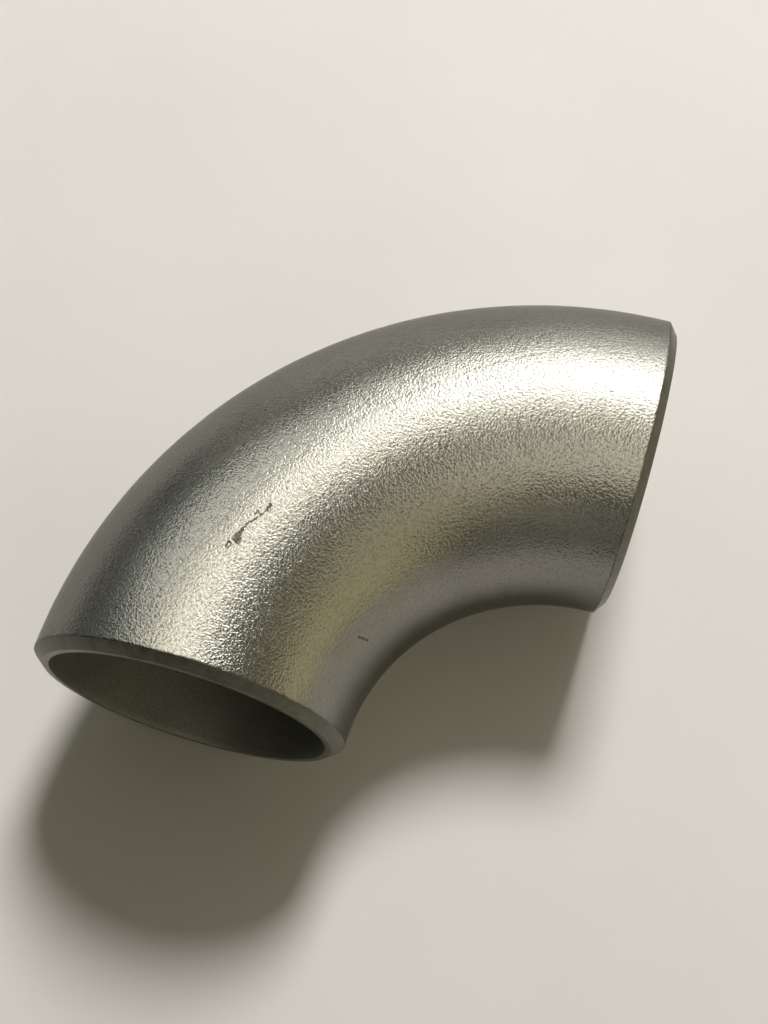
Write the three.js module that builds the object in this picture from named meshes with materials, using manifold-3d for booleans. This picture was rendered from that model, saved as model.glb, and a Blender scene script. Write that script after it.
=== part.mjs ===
// Butt-weld pipe elbow, 90 degrees, long radius, with both ends bevelled for welding.
//
// The fitting is one piece of stainless steel tube: hot formed round a bend, then machined at
// its two ends. It lies on its flank, as it does on a bench. Millimetres, +Z up. The origin is
// below the middle of its bounding box, on the surface that it lies on. Port A faces -Y and
// port B faces +X.

import * as THREE from 'three';
import { mergeVertices } from 'three/addons/utils/BufferGeometryUtils.js';
import Module from 'manifold-3d';

// Driving dimensions: a DN 40 (NPS 1 1/2) long-radius elbow in the schedule 10S wall.
const OUTER_DIAMETER = 48.3;
const WALL = 2.77;
const CENTRE_TO_END = 57.15; // from either end face to the other end's axis
const STRAIGHT_END = 1.5; // short length sized true at each end, which the bevel is cut on
const ROOT_FACE = 1.0; // flat ring left round the bore, where the pipe's own root face meets it
const BEVEL_ANGLE = THREE.MathUtils.degToRad(37.5); // from the end face's plane

// How finely the round shapes are faceted.
const FACETS_ROUND = 64; // flats round the tube
const BEND_STEPS = 24; // lengths along the bend

// Worked out from the driving dimensions.
const OUTER_RADIUS = OUTER_DIAMETER / 2;
const BORE_RADIUS = OUTER_RADIUS - WALL;
const ROOT_FACE_RADIUS = BORE_RADIUS + ROOT_FACE;
const BEND_RADIUS = CENTRE_TO_END - STRAIGHT_END;
const HALF_SPAN = (CENTRE_TO_END + OUTER_RADIUS) / 2; // the end faces lie this far from the origin
const BEND_CENTRE = new THREE.Vector3(HALF_SPAN - STRAIGHT_END, STRAIGHT_END - HALF_SPAN, OUTER_RADIUS);

// The bevel cutter reaches past the tube's outside and past its end face by this much.
const CUTTER_CLEARANCE = 3;

const wasm = await Module();
wasm.setup();

// The closed mesh of a geometry as a solid that can be cut.
function toSolid(geometry) {
  const bare = geometry.clone();
  bare.deleteAttribute('normal');
  bare.deleteAttribute('uv');
  const merged = mergeVertices(bare, 1e-4);
  return new wasm.Manifold(new wasm.Mesh({
    numProp: 3,
    vertProperties: new Float32Array(merged.attributes.position.array),
    triVerts: new Uint32Array(merged.index.array),
  }));
}

// The surface of a solid as a geometry.
function toGeometry(solid) {
  const mesh = solid.getMesh();
  const geometry = new THREE.BufferGeometry();
  geometry.setAttribute('position', new THREE.BufferAttribute(new Float32Array(mesh.vertProperties), 3));
  geometry.setIndex(new THREE.BufferAttribute(new Uint32Array(mesh.triVerts), 1));
  geometry.computeVertexNormals();
  return geometry;
}

// A round outline with one corner for each flat of the tube.
function roundPoints(radius) {
  const points = [];
  for (let i = 0; i < FACETS_ROUND; i += 1) {
    const angle = (2 * Math.PI * i) / FACETS_ROUND;
    points.push(new THREE.Vector2(radius * Math.cos(angle), radius * Math.sin(angle)));
  }
  return points;
}

// The tube's middle line from port A to port B, level with the bench: a short straight length,
// a quarter circle, and a short straight length again.
class MiddleLine extends THREE.Curve {
  getPoint(t, target = new THREE.Vector3()) {
    const step = t * MiddleLine.steps;
    const angle = THREE.MathUtils.clamp((step - 1) / BEND_STEPS, 0, 1) * (Math.PI / 2);
    const beforeBend = Math.max(0, 1 - step) * STRAIGHT_END;
    const afterBend = Math.max(0, step - 1 - BEND_STEPS) * STRAIGHT_END;
    return target.set(
      BEND_CENTRE.x - BEND_RADIUS * Math.cos(angle) + afterBend,
      BEND_CENTRE.y + BEND_RADIUS * Math.sin(angle) - beforeBend,
      BEND_CENTRE.z,
    );
  }

  // The steps follow t and not the length, so that one of them falls on each end of the bend.
  getUtoTmapping(u) {
    return u;
  }
}
MiddleLine.steps = BEND_STEPS + 2;

// The bent tube with plain square ends.
function makeBentTube() {
  const section = new THREE.Shape(roundPoints(OUTER_RADIUS));
  section.holes.push(new THREE.Path(roundPoints(BORE_RADIUS)));
  return new THREE.ExtrudeGeometry(section, {
    steps: MiddleLine.steps,
    bevelEnabled: false,
    extrudePath: new MiddleLine(),
  });
}

// The ring that the bevel tool takes off an end: a triangle turned about the port's axis, with its
// end face at y = 0 and the tube on the -y side. The triangle runs past the tube on both sides.
function makeBevelCutter() {
  const slope = Math.tan(BEVEL_ANGLE);
  const farRadius = OUTER_RADIUS + CUTTER_CLEARANCE;
  const nearRadius = ROOT_FACE_RADIUS - CUTTER_CLEARANCE;
  const profile = [
    new THREE.Vector2(nearRadius, (ROOT_FACE_RADIUS - nearRadius) * slope),
    new THREE.Vector2(farRadius, (ROOT_FACE_RADIUS - farRadius) * slope),
    new THREE.Vector2(farRadius, (ROOT_FACE_RADIUS - nearRadius) * slope),
    new THREE.Vector2(nearRadius, (ROOT_FACE_RADIUS - nearRadius) * slope),
  ];
  return new THREE.LatheGeometry(profile, FACETS_ROUND);
}

// Puts a cutter made about the Y axis onto a port: its origin on the port's centre, and its +Y
// along the port's outward normal.
function placeOnPort(cutter, centre, outward) {
  const turn = new THREE.Quaternion().setFromUnitVectors(new THREE.Vector3(0, 1, 0), outward);
  return cutter.clone().applyQuaternion(turn).translate(centre.x, centre.y, centre.z);
}

const middleLine = new MiddleLine();
const ports = [
  { centre: middleLine.getPoint(0), outward: new THREE.Vector3(0, -1, 0) },
  { centre: middleLine.getPoint(1), outward: new THREE.Vector3(1, 0, 0) },
];

function makeElbowBody() {
  let solid = toSolid(makeBentTube());
  for (const port of ports) {
    const cutter = toSolid(placeOnPort(makeBevelCutter(), port.centre, port.outward));
    solid = solid.subtract(cutter);
  }
  return toGeometry(solid);
}

// Stainless steel, shot blasted and pickled.
const blastedSteel = new THREE.MeshStandardMaterial({
  color: 0x9c9a92,
  roughness: 0.42,
  metalness: 1.0,
});

const elbowBody = new THREE.Mesh(makeElbowBody(), blastedSteel);
elbowBody.name = 'elbow_body';

const group = new THREE.Group();
group.add(elbowBody);

export default group;
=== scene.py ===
import math

import bpy
import numpy as np
from mathutils import Matrix, Vector, noise


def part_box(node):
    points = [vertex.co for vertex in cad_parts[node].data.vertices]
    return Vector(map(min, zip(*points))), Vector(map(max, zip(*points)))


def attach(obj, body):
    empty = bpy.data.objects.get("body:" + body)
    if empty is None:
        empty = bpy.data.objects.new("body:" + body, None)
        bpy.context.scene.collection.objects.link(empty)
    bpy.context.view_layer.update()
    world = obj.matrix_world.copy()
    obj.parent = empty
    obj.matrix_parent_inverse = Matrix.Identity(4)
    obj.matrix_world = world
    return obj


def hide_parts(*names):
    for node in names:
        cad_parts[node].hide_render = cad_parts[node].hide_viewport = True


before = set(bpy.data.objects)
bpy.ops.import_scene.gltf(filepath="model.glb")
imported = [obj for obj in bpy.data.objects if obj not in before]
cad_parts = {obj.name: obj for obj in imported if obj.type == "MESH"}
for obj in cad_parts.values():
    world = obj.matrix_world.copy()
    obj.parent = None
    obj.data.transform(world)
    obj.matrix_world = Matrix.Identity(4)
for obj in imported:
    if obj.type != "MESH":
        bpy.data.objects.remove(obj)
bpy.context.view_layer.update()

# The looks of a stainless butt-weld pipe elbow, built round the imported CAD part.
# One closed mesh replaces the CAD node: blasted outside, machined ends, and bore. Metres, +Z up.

MM = 0.001

# ---------------------------------------------------------------------------------------------
# Dimensions. The outside comes from the imported CAD part; the standard end preparation is repeated
# here.
# ---------------------------------------------------------------------------------------------

WALL = 2.77 * MM
STRAIGHT_END = 1.5 * MM
ROOT_FACE = 1.0 * MM
BEVEL_ANGLE = math.radians(37.5)

LOW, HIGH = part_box("elbow_body")
OUTER_RADIUS = (HIGH.z - LOW.z) / 2
BORE_RADIUS = OUTER_RADIUS - WALL
ROOT_FACE_RADIUS = BORE_RADIUS + ROOT_FACE
BEVEL_DEPTH = (OUTER_RADIUS - ROOT_FACE_RADIUS) * math.tan(BEVEL_ANGLE)
BEND_RADIUS = (HIGH.x - LOW.x) - OUTER_RADIUS - STRAIGHT_END
BEND_CENTRE = Vector((HIGH.x - STRAIGHT_END, LOW.y + STRAIGHT_END, LOW.z + OUTER_RADIUS))
BEND_LENGTH = BEND_RADIUS * math.pi / 2

# How finely the mesh is divided.
COLUMNS = 372  # evenly spaced lines along the tube
OUTER_RINGS = 186
BORE_RINGS = 36

# Seam of the tube: a faint dressed line along the upper flank, given as an angle round the section.
SEAM_PEAK = math.radians(86)  # 90 is the top of the flank, 0 the outside of the bend
SEAM_PEAK_SHARE = 0.42  # how far along the bend it stands highest
SEAM_SAG = math.radians(11)  # how much lower it starts than its peak
SEAM_DEPTH = 0.010 * MM
SEAM_HALF_WIDTH = 0.14 * MM  # of its groove
SEAM_MARK_HALF_WIDTH = 0.13 * MM  # of its darker colour
SEAM_LINE_OFFSETS = (0.0, 0.09 * MM, 0.19 * MM, 0.32 * MM, 0.5 * MM)  # extra lines beside the seam

# Scuffs on the upper half: strokes from (x, y) to (x, y) with a half-width, in mm. A speck has no
# length.
SCUFFS = (
    ((-14.00, -22.85), (-13.75, -21.85), 0.15),
    ((-13.75, -21.85), (-13.30, -22.30), 0.14),
    ((-13.30, -22.30), (-13.65, -23.00), 0.14),
    ((-12.80, -21.50), (-12.72, -20.80), 0.58),
    ((-12.72, -20.80), (-12.60, -19.80), 0.27),
    ((-12.60, -19.80), (-12.10, -18.70), 0.17),
    ((-12.10, -18.70), (-11.30, -17.80), 0.17),
    ((-11.30, -17.80), (-10.80, -17.10), 0.16),
    ((-11.50, -17.00), (-11.35, -16.50), 0.17),
    ((-11.35, -16.50), (-10.90, -16.75), 0.15),
    ((-10.80, -17.10), (-10.05, -15.95), 0.14),
    ((-10.05, -15.95), (-9.90, -15.10), 0.27),
    ((6.25, -26.80), (7.50, -26.40), 0.16),
    ((-13.90, -16.50), (-13.90, -16.50), 0.16),
    ((-8.40, -12.20), (-8.40, -12.20), 0.15),
    ((-20.90, -17.80), (-20.90, -17.80), 0.17),
    ((-3.00, -16.50), (-3.00, -16.50), 0.18),
    ((-1.90, -14.80), (-1.90, -14.80), 0.17),
)
SCUFF_DEPTH = 0.02 * MM
EDGE_WANDER = 0.09 * MM  # how far the bevel's outer corner strays along the tube
EDGE_WANDER_SIZE = 0.8 * MM
EDGE_SHADE_WIDTH = 0.30 * MM  # width of the dark line of painted shadow beside that corner

# Uneven surface, as (depth, size of its lumps, seed of its noise).
OUTSIDE_WAVES = (
    (0.022 * MM, 9 * MM, 1),
    (0.012 * MM, 1.5 * MM, 2),
    (0.008 * MM, 0.8 * MM, 3),
)
BORE_WAVES = ((0.02 * MM, 2.5 * MM, 4),)
EDGE_SEED = 5
FADE_POWER = 6  # how soon the outside's relief fades out down the bevel


# ---------------------------------------------------------------------------------------------
# The tube's surface
# ---------------------------------------------------------------------------------------------


def surface_point(s, radius, phi):
    """Points on a tube of that radius. s runs along the middle line from the start of the bend, and
    phi round the section from the outside of the bend over the top."""
    theta = np.clip(s / BEND_RADIUS, 0, math.pi / 2)
    straight = s - theta * BEND_RADIUS
    outward_x = -np.cos(theta)
    outward_y = np.sin(theta)
    reach = BEND_RADIUS + radius * np.cos(phi)
    x = BEND_CENTRE.x + reach * outward_x + straight * np.sin(theta)
    y = BEND_CENTRE.y + reach * outward_y + straight * np.cos(theta)
    z = BEND_CENTRE.z + radius * np.sin(phi)
    return np.stack(np.broadcast_arrays(x, y, z), axis=-1)


def flank_point(x, y):
    """The point of the bend's upper surface above (x, y), which are in mm."""
    x, y = x * MM, y * MM
    offset = math.hypot(x - BEND_CENTRE.x, y - BEND_CENTRE.y) - BEND_RADIUS
    return Vector((x, y, BEND_CENTRE.z + math.sqrt(OUTER_RADIUS**2 - offset**2)))


def seam_angle(s):
    """The seam's place round the section at s: it wanders a little along the bend."""
    share = np.clip(s / BEND_LENGTH, 0, 1)
    return SEAM_PEAK - SEAM_SAG * ((share - SEAM_PEAK_SHARE) / SEAM_PEAK_SHARE) ** 2


def column_offsets():
    """Angles from the seam of the lines along the tube, with extra lines close beside it."""
    fine = sorted({sign * away / OUTER_RADIUS for away in SEAM_LINE_OFFSETS for sign in (-1, 1)})
    step = 2 * math.pi / COLUMNS
    even = [i * step for i in range(1, COLUMNS)]
    clear = fine[-1] + 0.5 * step
    even = [a for a in even if clear < a < 2 * math.pi - clear]
    return np.array(fine + even)


def rounded_profile(points, sizes, steps=3):
    """A polyline of (depth, radius) with each inner corner rounded over that size. 0 keeps it."""
    made = [points[0]]
    for before, corner, after, size in zip(points, points[1:], points[2:], sizes):
        if size == 0:
            made.append(corner)
            continue
        before, corner, after = (np.array(p) for p in (before, corner, after))
        start = corner + (before - corner) / np.linalg.norm(before - corner) * size
        end = corner + (after - corner) / np.linalg.norm(after - corner) * size
        for t in np.linspace(0, 1, steps + 1):
            made.append(tuple((1 - t) ** 2 * start + 2 * t * (1 - t) * corner + t * t * end))
    made.append(points[-1])
    return made


def end_profile():
    """(depth from the end face, radius) from the outside, over the bevel and root face, to the bore."""
    corners = [
        (STRAIGHT_END + 0.4 * MM, OUTER_RADIUS),
        (BEVEL_DEPTH + EDGE_SHADE_WIDTH, OUTER_RADIUS),
        (BEVEL_DEPTH, OUTER_RADIUS),
        (0.0, ROOT_FACE_RADIUS),
        (0.0, BORE_RADIUS),
        (1.2 * MM, BORE_RADIUS),
    ]
    corner_sizes = (0.0, 0.07 * MM, 0.04 * MM, 0.06 * MM)
    return rounded_profile(corners, corner_sizes)


OUTSIDE, BEVEL_A, BEVEL_B, ROOT_A, ROOT_B, BORE = range(6)


def strip_region(first, second, bevel, root):
    """Which surface lies between two neighbouring points of the end profile."""
    depth, radius = (first[0] + second[0]) / 2, (first[1] + second[1]) / 2
    if depth > BEVEL_DEPTH:
        return OUTSIDE if radius > ROOT_FACE_RADIUS else BORE
    if radius > ROOT_FACE_RADIUS:
        return bevel
    return root if depth < 0.02 * MM else BORE


def ring_list():
    """Every ring of the closed mesh, in order, as (s, radius, region of the strip that follows)."""
    profile = end_profile()
    pairs = list(zip(profile, profile[1:]))
    outside_start = profile[0][0] - STRAIGHT_END
    bore_start = profile[-1][0] - STRAIGHT_END
    port_a, port_b = -STRAIGHT_END, BEND_LENGTH + STRAIGHT_END
    rings = []
    for s in np.linspace(outside_start, BEND_LENGTH - outside_start, OUTER_RINGS):
        rings.append((s, OUTER_RADIUS, OUTSIDE))
    for first, second in pairs[1:]:
        rings.append((port_b - first[0], first[1], strip_region(first, second, BEVEL_B, ROOT_B)))
    for s in np.linspace(BEND_LENGTH - bore_start, bore_start, BORE_RINGS):
        rings.append((s, BORE_RADIUS, BORE))
    for first, second in reversed(pairs[:-1]):
        rings.append((port_a + second[0], second[1], strip_region(first, second, BEVEL_A, ROOT_A)))
    return rings


def wave(points, size, seed):
    """Smooth noise from -1 to 1 at each point, with lumps about that size."""
    shift = Vector((seed * 17.3, seed * 5.1, seed * 9.7))
    return np.array([noise.noise(Vector(p) / size + shift) for p in points])


def waves_depth(points, waves):
    """How far each point lies below the true surface because of those waves."""
    sink = np.zeros(len(points))
    for depth, size, seed in waves:
        sink += depth * (0.5 + 0.5 * wave(points, size, seed))
    return sink


def distance_from_seam(s, phi):
    """The distance round the outside from each point to the seam."""
    turn = (phi - seam_angle(s) + math.pi) % (2 * math.pi) - math.pi
    return np.abs(turn) * OUTER_RADIUS


def stroke_distance(points, start, end):
    """How far each point lies from the straight line between two points."""
    along = np.array(end - start)
    from_start = points - np.array(start)
    share = np.clip(from_start @ along / max(along @ along, 1e-12), 0, 1)
    return np.linalg.norm(from_start - share[:, None] * along, axis=1)


def outside_relief(points, s, phi):
    """How far the outside lies below the true tube, because of its waves, the seam and the scuffs."""
    sink = waves_depth(points, OUTSIDE_WAVES)
    sink += SEAM_DEPTH * np.exp(-((distance_from_seam(s, phi) / SEAM_HALF_WIDTH) ** 2))
    for start, end, half_width in SCUFFS:
        away = stroke_distance(points, flank_point(*start), flank_point(*end)) / (half_width * MM)
        sink += SCUFF_DEPTH * np.exp(-(away**2))
    return sink


def add_attribute(mesh, name, values):
    """Keeps one number at each of the mesh's points, for a material to read."""
    attribute = mesh.attributes.new(name, "FLOAT", "POINT")
    attribute.data.foreach_set("value", values.astype(np.float32))


def build_elbow_mesh():
    rings = ring_list()
    offsets = column_offsets()
    ring_count, column_count = len(rings), len(offsets)
    s = np.repeat([ring[0] for ring in rings], column_count)
    radius = np.repeat([ring[1] for ring in rings], column_count)
    region = [ring[2] for ring in rings]
    phi = seam_angle(s) + np.tile(offsets, ring_count)
    points = surface_point(s, radius, phi)

    # The corner where the bevel meets the blasted outside wanders along the tube.
    depth = STRAIGHT_END + np.minimum(s, BEND_LENGTH - s)
    corner = np.abs(depth - BEVEL_DEPTH) < 0.1 * MM
    corner &= radius > ROOT_FACE_RADIUS
    inward = np.where(s < BEND_LENGTH / 2, 1, -1)
    s[corner] += inward[corner] * EDGE_WANDER * wave(points[corner], EDGE_WANDER_SIZE, EDGE_SEED)

    # Relief acts on the outside, and fades out down the bevel from its outer corner.
    share = np.clip((radius - ROOT_FACE_RADIUS) / (OUTER_RADIUS - ROOT_FACE_RADIUS), 0, 1) ** FADE_POWER
    touched = share > 0.02
    relief = np.zeros(len(s))
    relief[touched] = outside_relief(points[touched], s[touched], phi[touched]) * share[touched]
    bore = np.array(region).repeat(column_count) == BORE
    relief[bore] = waves_depth(points[bore], BORE_WAVES)
    points = surface_point(s, radius - relief, phi)

    faces = []
    for ring in range(ring_count):
        here, there = ring * column_count, ((ring + 1) % ring_count) * column_count
        for column in range(column_count):
            beside = (column + 1) % column_count
            faces.append((here + column, here + beside, there + beside, there + column))
    mesh = bpy.data.meshes.new("elbow")
    mesh.from_pydata(points.tolist(), [], faces)
    mesh.polygons.foreach_set("material_index", np.repeat(region, column_count))
    mesh.polygons.foreach_set("use_smooth", np.ones(len(faces), bool))

    on_outside = np.abs(radius - OUTER_RADIUS) < 0.08 * MM
    # Painted shadow: a dark line on the outside beside the bevel's outer corner, as a burr would cast.
    edge_shade = np.clip(1 - np.abs(depth - BEVEL_DEPTH) / EDGE_SHADE_WIDTH, 0, 1) * on_outside
    seam = np.exp(-((distance_from_seam(s, phi) / SEAM_MARK_HALF_WIDTH) ** 2))
    add_attribute(mesh, "edge_shade", edge_shade)
    add_attribute(mesh, "seam", seam)
    mesh.validate()
    mesh.update()
    return mesh


# ---------------------------------------------------------------------------------------------
# Materials
# ---------------------------------------------------------------------------------------------

# Colours are linear. A pair is the darkest and the lightest of a surface's clouds.
BLASTED_COLOURS = (0.245, 0.24, 0.225), (0.275, 0.27, 0.25)
# painted shade: the grain's pits are drawn darker than the surface round them
PIT_SHADE_COLOUR = (0.125, 0.12, 0.105)
SEAM_COLOUR = (0.14, 0.13, 0.11)
# painted shadow: a dark line beside the bevel's outer corner, as a burr would cast
EDGE_SHADE_COLOUR = (0.06, 0.055, 0.04)
SCUFF_COLOUR = (0.038, 0.034, 0.027)
BEVEL_COLOURS = (0.10, 0.098, 0.076), (0.142, 0.139, 0.11)
# The root faces are lighter than the bevels: partly a freshly turned face, partly a painted reflection
# of the light their turned rings catch.
ROOT_TONE_AND_SHEEN_COLOURS = (0.155, 0.15, 0.13), (0.22, 0.213, 0.19)
BORE_COLOURS = (0.125, 0.128, 0.10), (0.155, 0.157, 0.127)
# painted shade: the bore grain's pits are drawn darker
BORE_PIT_SHADE_COLOUR = (0.06, 0.06, 0.047)
PAPER_COLOURS = (0.75, 0.72, 0.67), (0.79, 0.76, 0.71)
GLANCING_TINT = (0.6, 0.6, 0.6, 1)  # a rough surface hides part of itself from a glancing view

# Sizes and heights of the fine grain, which the mesh doesn't carry.
COARSE_GRAIN, FINE_GRAIN = 0.38 * MM, 0.27 * MM
GRAIN_HEIGHT = 0.115 * MM
LUMP_SIZE, LUMP_HEIGHT = 1.1 * MM, 0.03 * MM
TOOL_MARK_SIZE, TOOL_MARK_HEIGHT = 0.12 * MM, 0.008 * MM
MACHINED_GRAIN, MACHINED_GRAIN_HEIGHT = 0.28 * MM, 0.07 * MM
BORE_GRAIN, BORE_GRAIN_HEIGHT = 0.36 * MM, 0.08 * MM
FINE_SHIFT = (0.1, 0.2, 0.3)  # keeps the fine grain from repeating the coarse one

MOST = (0.3, 0.7)  # nearly all of a noise of several octaves lies between these


class Nodes:
    """A material's node tree, with short ways to add a node and to wire it."""

    def __init__(self, name):
        self.material = bpy.data.materials.new(name)
        self.material.use_nodes = True
        self.tree = self.material.node_tree
        self.tree.nodes.clear()
        self.shader = self.add("ShaderNodeBsdfPrincipled")
        output = self.add("ShaderNodeOutputMaterial")
        self.tree.links.new(self.shader.outputs["BSDF"], output.inputs["Surface"])
        self.position = self.add("ShaderNodeTexCoord").outputs["Object"]

    def add(self, kind, **settings):
        node = self.tree.nodes.new(kind)
        for name, value in settings.items():
            setattr(node, name, value)
        return node

    def put(self, socket, value):
        if isinstance(value, bpy.types.NodeSocket):
            self.tree.links.new(value, socket)
        else:
            socket.default_value = value

    def math(self, operation, *values, clamp=False):
        node = self.add("ShaderNodeMath", operation=operation, use_clamp=clamp)
        for socket, value in zip(node.inputs, values):
            self.put(socket, value)
        return node.outputs[0]

    def vector(self, operation, *values, scale=None):
        node = self.add("ShaderNodeVectorMath", operation=operation)
        for socket, value in zip(node.inputs, values):
            self.put(socket, value)
        if scale is not None:
            self.put(node.inputs["Scale"], scale)
        single = operation in ("LENGTH", "DOT_PRODUCT")
        return node.outputs["Value" if single else "Vector"]

    def noise(self, size, detail=2.0, roughness=0.5, position=None):
        """Noise from 0 to 1 with lumps about that size."""
        node = self.add("ShaderNodeTexNoise")
        self.put(node.inputs["Vector"], position or self.position)
        self.put(node.inputs["Scale"], 1 / size)
        self.put(node.inputs["Detail"], detail)
        self.put(node.inputs["Roughness"], roughness)
        return node.outputs["Fac"]

    def wobble(self, size, reach):
        """The position, moved about by up to half that reach, in waves about that size."""
        node = self.add("ShaderNodeTexNoise")
        self.put(node.inputs["Vector"], self.position)
        self.put(node.inputs["Scale"], 1 / size)
        shift = self.vector("SUBTRACT", node.outputs["Color"], (0.5, 0.5, 0.5))
        return self.vector("ADD", self.position, self.vector("SCALE", shift, scale=reach))

    def remap(self, value, low, high, new_low=0.0, new_high=1.0, smooth=False):
        """The value carried from low..high to new_low..new_high, and held at those ends."""
        node = self.add("ShaderNodeMapRange")
        node.interpolation_type = "SMOOTHSTEP" if smooth else "LINEAR"
        self.put(node.inputs["Value"], value)
        self.put(node.inputs["From Min"], low)
        self.put(node.inputs["From Max"], high)
        self.put(node.inputs["To Min"], new_low)
        self.put(node.inputs["To Max"], new_high)
        return node.outputs["Result"]

    def mix_colour(self, factor, first, second):
        node = self.add("ShaderNodeMix", data_type="RGBA")
        self.put(node.inputs["Factor"], factor)
        for socket, value in ((node.inputs[6], first), (node.inputs[7], second)):
            self.put(socket, value if isinstance(value, bpy.types.NodeSocket) else (*value, 1))
        return node.outputs[2]

    def bump(self, height, distance, before=None):
        node = self.add("ShaderNodeBump")
        self.put(node.inputs["Strength"], 1.0)
        self.put(node.inputs["Distance"], distance)
        self.put(node.inputs["Height"], height)
        if before is not None:
            self.put(node.inputs["Normal"], before)
        return node.outputs["Normal"]

    def attribute(self, name):
        return self.add("ShaderNodeAttribute", attribute_name=name).outputs["Fac"]


def scuff_distance(nodes, position, start, end):
    """The distance of that position from a stroke, as stroke_distance has it."""
    along = end - start
    from_start = nodes.vector("SUBTRACT", position, start)
    if along.length == 0:
        return nodes.vector("LENGTH", from_start)
    share = nodes.vector("DOT_PRODUCT", from_start, along / along.length_squared)
    nearest = nodes.vector("SCALE", along, scale=nodes.math("ADD", share, 0.0, clamp=True))
    return nodes.vector("LENGTH", nodes.vector("SUBTRACT", from_start, nearest))


def scuff_mask(nodes):
    """1 inside the scuffs, with ragged edges, and 0 elsewhere."""
    position = nodes.wobble(0.35 * MM, 0.6 * MM)
    ragged = nodes.remap(nodes.noise(0.45 * MM, detail=3), *MOST, 0.45, 1.55)
    worn = nodes.remap(nodes.noise(0.16 * MM, detail=2), 0.35, 0.52, 0.7, 1.0)
    mask = 0.0
    for start, end, half_width in SCUFFS:
        away = scuff_distance(nodes, position, flank_point(*start), flank_point(*end))
        reach = nodes.math("MULTIPLY", ragged, half_width * MM)
        mark = nodes.remap(nodes.math("DIVIDE", away, reach), 0.6, 1.3, 1.0, 0.0, smooth=True)
        mask = nodes.math("MAXIMUM", mask, mark)
    return nodes.math("MULTIPLY", mask, worn)


def blasted_steel():
    nodes = Nodes("blasted_stainless")
    coarse = nodes.noise(COARSE_GRAIN, detail=1.0)
    fine = nodes.noise(FINE_GRAIN, detail=1.0, position=nodes.vector("ADD", nodes.position, FINE_SHIFT))
    coarse_part = nodes.math("MULTIPLY", coarse, 0.6)
    grain = nodes.math("ADD", coarse_part, nodes.math("MULTIPLY", fine, 0.4))
    lumps = nodes.noise(LUMP_SIZE, detail=2)
    clouds = nodes.noise(14 * MM, detail=3)
    scuffs = nodes.math("MULTIPLY", scuff_mask(nodes), 0.92)
    seam = nodes.math("MULTIPLY", nodes.attribute("seam"), nodes.remap(clouds, *MOST, 0.15, 0.45))
    # Painted shadow beside the bevel's outer corner, broken up by the lumps.
    edge_shade = nodes.math("MULTIPLY", nodes.attribute("edge_shade"), nodes.remap(lumps, 0.35, 0.6, 0.4, 1.0))

    colour = nodes.mix_colour(nodes.remap(clouds, *MOST), *BLASTED_COLOURS)
    # Painted shade: the low places of the grain are darkened towards the pit colour.
    colour = nodes.mix_colour(nodes.remap(grain, 0.50, 0.36, 0.0, 0.5), colour, PIT_SHADE_COLOUR)
    colour = nodes.mix_colour(seam, colour, SEAM_COLOUR)
    colour = nodes.mix_colour(edge_shade, colour, EDGE_SHADE_COLOUR)
    colour = nodes.mix_colour(scuffs, colour, SCUFF_COLOUR)
    rough = nodes.remap(clouds, *MOST, 0.24, 0.28)
    rough = nodes.math("ADD", rough, nodes.math("MULTIPLY", scuffs, 0.3), clamp=True)

    normal = nodes.bump(lumps, LUMP_HEIGHT)
    normal = nodes.bump(grain, GRAIN_HEIGHT, before=normal)
    nodes.put(nodes.shader.inputs["Base Color"], colour)
    nodes.put(nodes.shader.inputs["Metallic"], 1.0)
    nodes.put(nodes.shader.inputs["Roughness"], rough)
    nodes.put(nodes.shader.inputs["Specular Tint"], GLANCING_TINT)
    nodes.put(nodes.shader.inputs["Normal"], normal)
    return nodes.material


def machined_steel(name, centre, flat_axes, colours):
    """A turned face: fine rings round the port's centre, dulled by pickling. flat_axes has a 1 for
    each of the two axes that lie in the face."""
    nodes = Nodes(name)
    away = nodes.vector("SUBTRACT", nodes.position, centre)
    radius = nodes.vector("LENGTH", nodes.vector("MULTIPLY", away, flat_axes))
    tool_marks = nodes.add("ShaderNodeTexNoise", noise_dimensions="1D")
    nodes.put(tool_marks.inputs["W"], nodes.math("MULTIPLY", radius, 1 / TOOL_MARK_SIZE))
    nodes.put(tool_marks.inputs["Detail"], 1.0)
    grain = nodes.noise(MACHINED_GRAIN, detail=2)
    stain = nodes.noise(1.6 * MM, detail=4, roughness=0.7)
    colour = nodes.mix_colour(nodes.remap(stain, 0.35, 0.65), *colours)
    normal = nodes.bump(tool_marks.outputs["Fac"], TOOL_MARK_HEIGHT)
    normal = nodes.bump(grain, MACHINED_GRAIN_HEIGHT, before=normal)
    nodes.put(nodes.shader.inputs["Base Color"], colour)
    nodes.put(nodes.shader.inputs["Metallic"], 1.0)
    nodes.put(nodes.shader.inputs["Roughness"], nodes.remap(stain, *MOST, 0.34, 0.46))
    nodes.put(nodes.shader.inputs["Normal"], normal)
    return nodes.material


def bore_steel():
    nodes = Nodes("bore_stainless")
    grain = nodes.noise(BORE_GRAIN, detail=3)
    stain = nodes.noise(9 * MM, detail=3)
    colour = nodes.mix_colour(nodes.remap(stain, *MOST), *BORE_COLOURS)
    # Painted shade: the low places of the bore's grain are darkened towards the pit colour.
    colour = nodes.mix_colour(nodes.remap(grain, 0.5, 0.35, 0.0, 0.4), colour, BORE_PIT_SHADE_COLOUR)
    nodes.put(nodes.shader.inputs["Base Color"], colour)
    nodes.put(nodes.shader.inputs["Metallic"], 0.5)
    nodes.put(nodes.shader.inputs["Roughness"], nodes.remap(grain, *MOST, 0.55, 0.65))
    nodes.put(nodes.shader.inputs["Normal"], nodes.bump(grain, BORE_GRAIN_HEIGHT))
    return nodes.material


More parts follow.
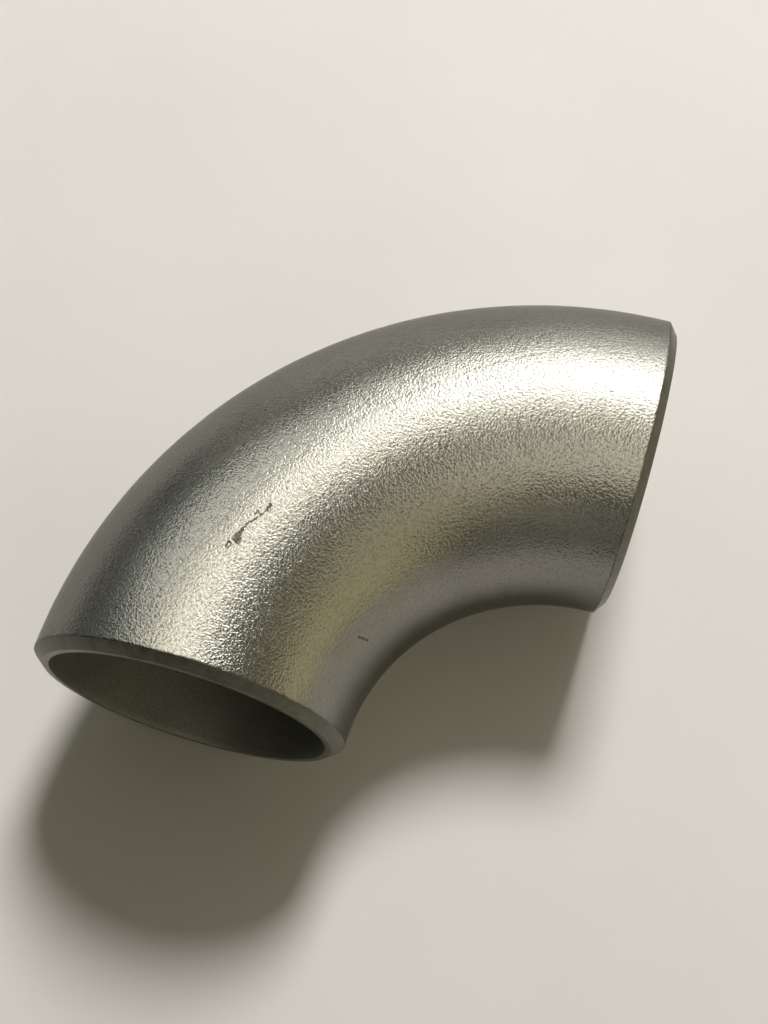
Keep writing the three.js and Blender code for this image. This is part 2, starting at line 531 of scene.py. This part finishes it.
def floor_paper():
    nodes = Nodes("floor_paper")
    clouds = nodes.noise(60 * MM, detail=3)
    colour = nodes.mix_colour(nodes.remap(clouds, *MOST), *PAPER_COLOURS)
    nodes.put(nodes.shader.inputs["Base Color"], colour)
    nodes.put(nodes.shader.inputs["Roughness"], 0.7)
    return nodes.material


# ---------------------------------------------------------------------------------------------
# The piece
# ---------------------------------------------------------------------------------------------


def make_elbow():
    """The one piece. Its materials stand in the order of the region numbers."""
    elbow = bpy.data.objects.new("elbow", build_elbow_mesh())
    bpy.context.scene.collection.objects.link(elbow)
    port_a = Vector((BEND_CENTRE.x - BEND_RADIUS, LOW.y, BEND_CENTRE.z))
    port_b = Vector((HIGH.x, BEND_CENTRE.y + BEND_RADIUS, BEND_CENTRE.z))
    elbow.data.materials.append(blasted_steel())
    for kind, colours in (("bevel", BEVEL_COLOURS), ("root", ROOT_TONE_AND_SHEEN_COLOURS)):
        for port, centre, flat_axes in (("a", port_a, (1, 0, 1)), ("b", port_b, (0, 1, 1))):
            name = f"{kind}_{port}_stainless"
            elbow.data.materials.append(machined_steel(name, centre, flat_axes, colours))
    elbow.data.materials.append(bore_steel())
    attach(elbow, "root")
    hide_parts("elbow_body")


# ---------------------------------------------------------------------------------------------
# Floor, light and camera
# ---------------------------------------------------------------------------------------------

FLOOR_SIDE = 1.0  # metres, and so are the sizes of the lights

AIM = Vector((3.2 * MM, -1.8 * MM, BEND_CENTRE.z))  # what the camera's axis passes through
CAMERA_DISTANCE = 211 * MM
CAMERA_AZIMUTH = 13.58  # degrees from the -Y side towards +X
CAMERA_ELEVATION = 66.78
CAMERA_ROLL = math.radians(2.1)
CAMERA_LENS = 46.7

LIGHT_DISTANCE = 1.2

# Soft boxes that only gloss shows: (name, azimuth, elevation, width, height, watts, colour). They
# stand round the elbow like the panels of a light tent, brightest behind it, where the window is.
SOFT_BOXES = (
    ("window", 177, 54, 0.30, 0.30, 3.6, (0.95, 1.0, 1.0)),
    ("window_low", 180, 40, 0.70, 0.35, 4.2, (1.0, 0.97, 0.88)),
    ("window_right", 155, 56, 0.35, 0.35, 3.8, (1.0, 0.99, 0.92)),
    ("back_low", 168, 20, 0.80, 0.35, 1.7, (1.0, 1.0, 0.97)),
    ("back_horizon", 194, 8, 1.40, 0.30, 1.3, (1.0, 0.96, 0.80)),
    ("ceiling", 231, 77, 0.72, 0.65, 5.3, (1.0, 0.96, 0.80)),
    ("ceiling_front", 12, 66, 0.95, 0.70, 3.4, (1.0, 0.95, 0.78)),
    ("left", 232, 44, 0.65, 0.40, 1.8, (0.98, 1.0, 0.92)),
    ("left_low", 250, 20, 0.90, 0.40, 0.3, (0.92, 1.0, 0.86)),
    ("right_high", 105, 44, 0.90, 0.80, 0.25, (1.0, 0.90, 0.50)),
    ("right_low", 88, 13, 1.50, 0.50, 2.4, (1.0, 0.90, 0.51)),
    ("right", 60, 40, 0.95, 0.55, 1.4, (1.0, 0.91, 0.60)),
    ("front_low", 20, 20, 0.90, 0.40, 0.5, (1.0, 0.96, 0.75)),
)

# Light that gloss doesn't show, mostly for the floor: the window's round beam, which casts the
# shadows, and a soft fill from low down. The fill has one colour at the -X horizon and another at
# the +X horizon, and fades to none overhead.
BEAM_AZIMUTH, BEAM_ELEVATION = 180.3, 52.8
BEAM_WIDTH = 0.31
BEAM_WATTS = 13.3
FILL_LEFT = (0.08, 0.07, 0.04)
FILL_RIGHT = (1.12, 1.06, 0.81)
FILL_TURN = -0.2  # X of the direction where the fill starts to change from left to right
METAL_FILL = (0.04, 0.04, 0.035)  # what gloss shows between the soft boxes
BACKDROP_COLOUR = (0.66, 0.64, 0.57)


def toward(azimuth, elevation):
    """The direction at that azimuth, counted from -Y towards +X, and that elevation. Degrees."""
    azimuth, elevation = math.radians(azimuth), math.radians(elevation)
    level = math.cos(elevation)
    return Vector((level * math.sin(azimuth), -level * math.cos(azimuth), math.sin(elevation)))


def make_floor():
    bpy.ops.mesh.primitive_plane_add(size=FLOOR_SIDE, location=(0, 0, LOW.z))
    floor = bpy.context.object
    floor.name = "floor"
    floor.data.materials.append(floor_paper())


def place_light(name, data, azimuth, elevation):
    light = bpy.data.objects.new(name, data)
    back = toward(azimuth, elevation)
    light.location = AIM + back * LIGHT_DISTANCE
    light.rotation_mode = "QUATERNION"
    light.rotation_quaternion = (-back).to_track_quat("-Z", "Y")
    bpy.context.scene.collection.objects.link(light)
    return light


def make_soft_box(name, azimuth, elevation, width, height, watts, colour):
    data = bpy.data.lights.new(name, "AREA")
    data.shape = "RECTANGLE"
    data.size, data.size_y = width, height
    data.energy = watts
    data.color = colour
    place_light(name, data, azimuth, elevation).visible_diffuse = False


def make_beam():
    data = bpy.data.lights.new("beam", "AREA")
    data.shape = "DISK"
    data.size = BEAM_WIDTH
    data.energy = BEAM_WATTS
    place_light("beam", data, BEAM_AZIMUTH, BEAM_ELEVATION).visible_glossy = False


def mix_for_world(tree, factor, first, second):
    """The first colour or socket where the factor is 0, and the second colour where it is 1."""
    node = tree.nodes.new("ShaderNodeMix")
    node.data_type = "RGBA"
    tree.links.new(factor, node.inputs["Factor"])
    if isinstance(first, bpy.types.NodeSocket):
        tree.links.new(first, node.inputs[6])
    else:
        node.inputs[6].default_value = (*first, 1)
    node.inputs[7].default_value = (*second, 1)
    return node.outputs[2]


def make_world():
    """A pale backdrop for the camera, a low fill for the floor, and next to nothing for gloss, which
    shows the soft boxes."""
    world = bpy.data.worlds.new("studio")
    bpy.context.scene.world = world
    world.use_nodes = True
    tree = world.node_tree
    direction = tree.nodes.new("ShaderNodeSeparateXYZ")
    tree.links.new(tree.nodes.new("ShaderNodeTexCoord").outputs["Generated"], direction.inputs[0])
    side = tree.nodes.new("ShaderNodeMapRange")
    side.inputs["From Min"].default_value = FILL_TURN
    tree.links.new(direction.outputs["X"], side.inputs["Value"])
    colour = mix_for_world(tree, side.outputs["Result"], FILL_LEFT, FILL_RIGHT)
    colour = mix_for_world(tree, direction.outputs["Z"], colour, (0, 0, 0))
    rays = tree.nodes.new("ShaderNodeLightPath")
    colour = mix_for_world(tree, rays.outputs["Is Glossy Ray"], colour, METAL_FILL)
    colour = mix_for_world(tree, rays.outputs["Is Camera Ray"], colour, BACKDROP_COLOUR)
    tree.links.new(colour, tree.nodes["Background"].inputs["Color"])


def make_lights():
    make_world()
    make_beam()
    for box in SOFT_BOXES:
        make_soft_box(*box)


def make_camera():
    data = bpy.data.cameras.new("camera")
    data.lens = CAMERA_LENS
    data.clip_start = 0.01
    camera = bpy.data.objects.new("camera", data)
    bpy.context.scene.collection.objects.link(camera)
    back = toward(CAMERA_AZIMUTH, CAMERA_ELEVATION)
    turn = (-back).to_track_quat("-Z", "Y").to_matrix() @ Matrix.Rotation(CAMERA_ROLL, 3, "Z")
    camera.matrix_world = Matrix.Translation(AIM + back * CAMERA_DISTANCE) @ turn.to_4x4()
    bpy.context.scene.camera = camera


make_camera()
make_elbow()
make_floor()
make_lights()
bpy.context.scene.view_settings.view_transform = "Standard"
